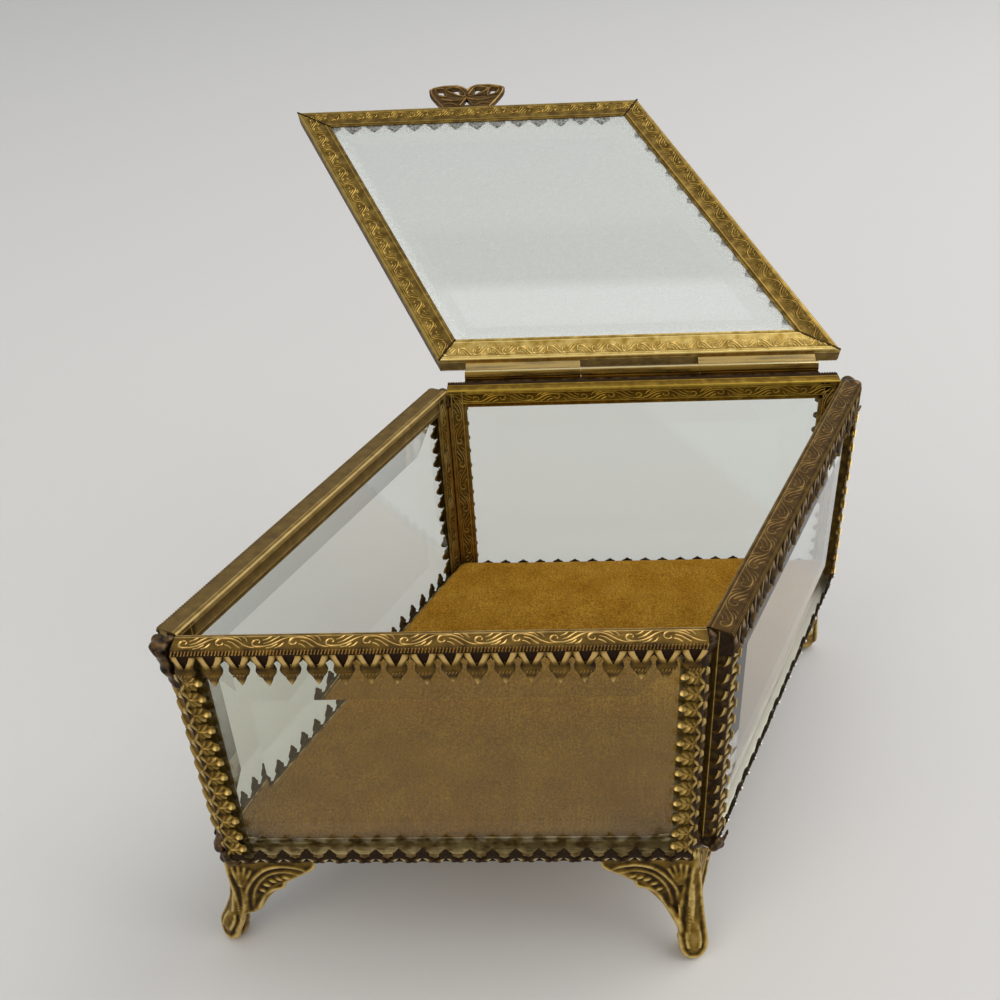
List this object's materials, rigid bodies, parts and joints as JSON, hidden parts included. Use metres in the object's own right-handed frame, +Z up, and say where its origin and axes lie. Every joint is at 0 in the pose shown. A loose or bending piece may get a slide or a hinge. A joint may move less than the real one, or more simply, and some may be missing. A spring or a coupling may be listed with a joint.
{
  "type": "glass casket box",
  "caption": "Slanted glass casket with bevelled panes in embossed brass channel, a hinged bevelled lid with a lift tab, cast feet and a velvet pad.",
  "frame": {"origin": "middle of the bounding box with the lid open, on the surface that the feet stand on", "axes": "+Z up, front wall towards -Y, lid hinged along the back towards +Y, side walls slanting to +X at the back"},
  "size_m": [0.161, 0.2142, 0.1438],
  "materials": {
    "channel_brass": "embossed sheet brass, antique gilt with brown patina in the recesses",
    "cast_brass": "cast brass, gilt and worn",
    "hinge_brass": "rolled sheet brass, dulled",
    "filigree_brass": "cast filigree, dark bronze patina",
    "plate_brass": "plain sheet brass, tarnished",
    "solder": "dull soft solder, darkened",
    "glass": "clear bevelled plate glass with a faint grey-green tint",
    "velvet": "gold velvet with a mottled nap",
    "card": "plain pulp board"
  },
  "bodies": {
    "casket": {"front_glass": "glass", "front_top_rail": "channel_brass", "front_bottom_rail": "channel_brass", "front_left_stile": "channel_brass", "front_right_stile": "channel_brass", "right_glass": "glass", "right_top_rail": "channel_brass", "right_bottom_rail": "channel_brass", "right_front_stile": "channel_brass", "right_back_stile": "channel_brass", "back_glass": "glass", "back_top_rail": "channel_brass", "back_bottom_rail": "channel_brass", "back_right_stile": "channel_brass", "back_left_stile": "channel_brass", "left_glass": "glass", "left_top_rail": "channel_brass", "left_bottom_rail": "channel_brass", "left_back_stile": "channel_brass", "left_front_stile": "channel_brass", "front_left_solder": "solder", "front_right_solder": "solder", "back_right_solder": "solder", "back_left_solder": "solder", "front_left_foot": "cast_brass", "front_right_foot": "cast_brass", "back_right_foot": "cast_brass", "back_left_foot": "cast_brass", "base_plate": "plate_brass", "pad_card": "card", "velvet_pad": "velvet", "hinge_fixed_leaf": "hinge_brass", "hinge_pin": "hinge_brass"},
    "lid": {"lid_glass": "glass", "lid_front_strip": "channel_brass", "lid_right_strip": "channel_brass", "lid_back_strip": "channel_brass", "lid_left_strip": "channel_brass", "lid_left_leaf": "hinge_brass", "lid_right_leaf": "hinge_brass", "lid_tab": "filigree_brass"}
  },
  "joints": [
    {"name": "lid_hinge", "type": "hinge", "parent": "casket", "child": "lid", "pos_m": [0.02301, 0.00289, 0.0941], "axis": [1, 0, 0], "range_deg": [0, 154]}
  ]
}
